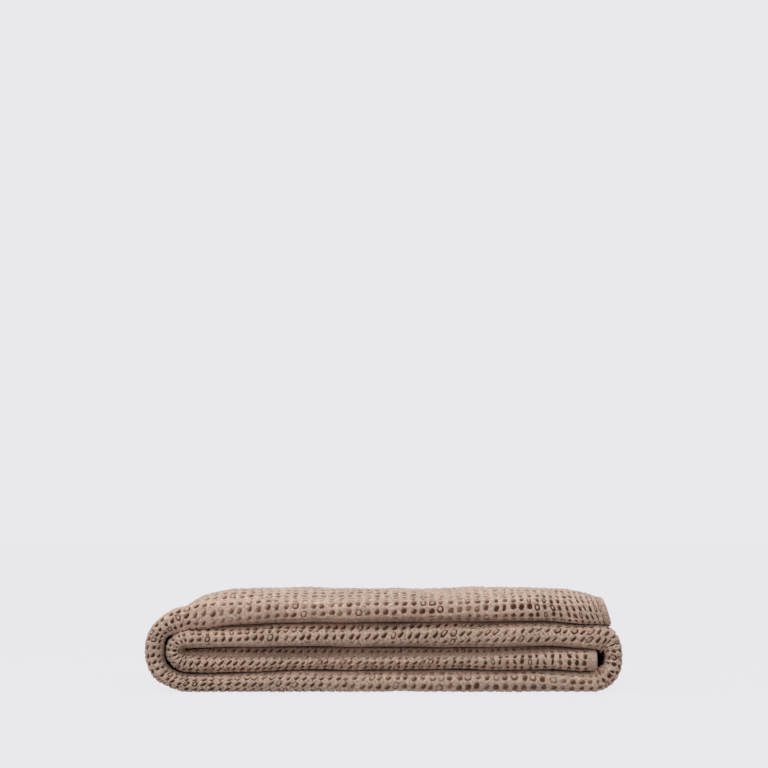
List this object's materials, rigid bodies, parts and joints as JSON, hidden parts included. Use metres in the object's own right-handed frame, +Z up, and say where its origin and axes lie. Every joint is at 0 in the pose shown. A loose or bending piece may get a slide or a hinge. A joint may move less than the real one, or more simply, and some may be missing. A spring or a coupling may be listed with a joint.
{
  "type": "folded waffle weave cotton blanket",
  "caption": "Waffle weave cotton blanket, folded lengthwise and then rolled up flat into a low stack with round folds and a hem at each end.",
  "frame": {"origin": "under the middle of the folded blanket, on the surface that it rests on", "axes": "+Z up, front folds towards -Y, outer bend towards -X, outer hem towards +X"},
  "size_m": [0.4928, 0.384, 0.1061],
  "materials": {
    "cotton": "washed, matt waffle weave in a dusty brown"
  },
  "bodies": {
    "root": {"blanket": "cotton"}
  },
  "joints": []
}
